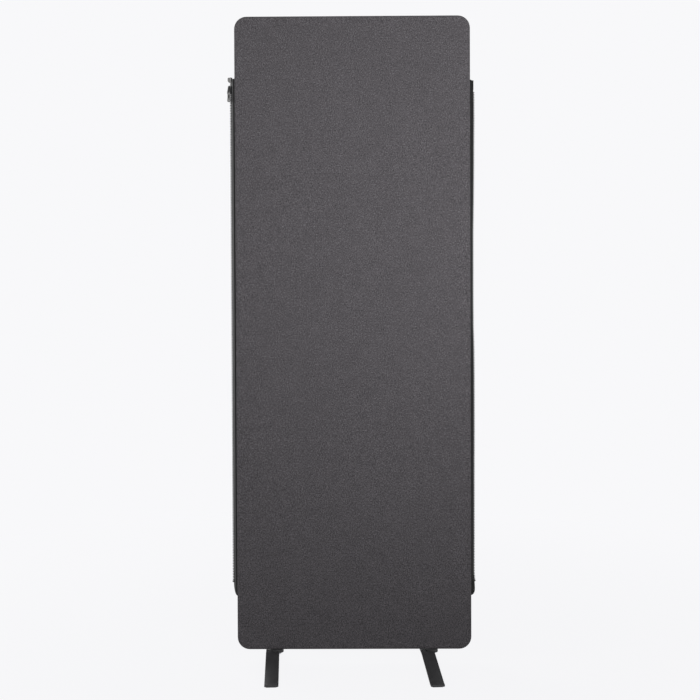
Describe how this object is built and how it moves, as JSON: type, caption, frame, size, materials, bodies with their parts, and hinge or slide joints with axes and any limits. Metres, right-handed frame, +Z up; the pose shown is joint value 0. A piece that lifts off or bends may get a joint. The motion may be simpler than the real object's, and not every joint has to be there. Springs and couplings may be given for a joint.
{
  "type": "acoustic divider screen",
  "caption": "Free-standing felt-covered acoustic panel with rounded corners, half of a separating zip on each side edge and swivel feet of flat steel.",
  "frame": {"origin": "on the floor under the middle of the panel", "axes": "+Z up, +X to the right seen from the front, -Y out of the front face"},
  "size_m": [0.6427, 0.3976, 1.6764],
  "materials": {
    "felt": "heathered grey pressed felt",
    "acoustic_core": "dense fibre batt",
    "tube_steel": "grey primed steel tube",
    "nylon": "natural nylon moulding",
    "zinc_steel": "zinc-plated steel",
    "zip_tape": "woven black polyester tape",
    "zip_teeth": "moulded acetal teeth",
    "zip_metal": "dark satin nickel",
    "slider_metal": "black enamel",
    "foot_steel": "satin black powder coat",
    "washer_nylon": "black nylon thrust washer",
    "pull_vinyl": "soft black vinyl insert",
    "pad_rubber": "black rubber"
  },
  "bodies": {
    "panel": {"front_cover": "felt", "rear_cover": "felt", "upper_core": "acoustic_core", "lower_core": "acoustic_core", "left_stile": "tube_steel", "right_stile": "tube_steel", "top_rail": "tube_steel", "bottom_rail": "tube_steel", "middle_rail": "tube_steel", "left_rail_plug": "nylon", "right_rail_plug": "nylon", "top_left_corner": "nylon", "top_right_corner": "nylon", "bottom_left_corner": "nylon", "bottom_right_corner": "nylon", "middle_rail_screws": "zinc_steel", "left_weld_nut": "zinc_steel", "right_weld_nut": "zinc_steel", "left_pivot_bolt": "zinc_steel", "right_pivot_bolt": "zinc_steel", "left_zip_tape": "zip_tape", "right_zip_tape": "zip_tape", "left_zip_teeth": "zip_teeth", "right_zip_teeth": "zip_teeth", "left_zip_stop": "zip_metal", "right_zip_stop": "zip_metal", "zip_retainer_box": "zip_metal", "zip_insertion_pin": "zip_metal", "left_spacer": "foot_steel", "right_spacer": "foot_steel", "left_upper_washer": "washer_nylon", "right_upper_washer": "washer_nylon", "left_lower_washer": "washer_nylon", "right_lower_washer": "washer_nylon"},
    "zip_slider": {"zip_slider": "slider_metal"},
    "zip_pull": {"zip_pull": "zip_metal", "zip_pull_insert": "pull_vinyl"},
    "left_foot": {"left_foot_bar": "foot_steel", "left_front_pad": "pad_rubber", "left_rear_pad": "pad_rubber"},
    "right_foot": {"right_foot_bar": "foot_steel", "right_front_pad": "pad_rubber", "right_rear_pad": "pad_rubber"}
  },
  "joints": [
    {"name": "slider_slide", "type": "slide", "parent": "panel", "child": "zip_slider", "axis": [0, 0, -1], "range_m": [0, 1.2693]},
    {"name": "pull_swing", "type": "hinge", "parent": "zip_slider", "child": "zip_pull", "pos_m": [-0.3204, 0.00364, 1.4942], "axis": [-0.866, 0.5, 0], "range_deg": [0, 160]},
    {"name": "left_foot_swivel", "type": "hinge", "parent": "panel", "child": "left_foot", "pos_m": [-0.2016, 0, 0.0202], "axis": [0, 0, 1], "range_deg": [-93.7, 86.3]},
    {"name": "right_foot_swivel", "type": "hinge", "parent": "panel", "child": "right_foot", "pos_m": [0.2016, 0, 0.0202], "axis": [0, 0, 1], "range_deg": [-93.7, 86.3]}
  ]
}
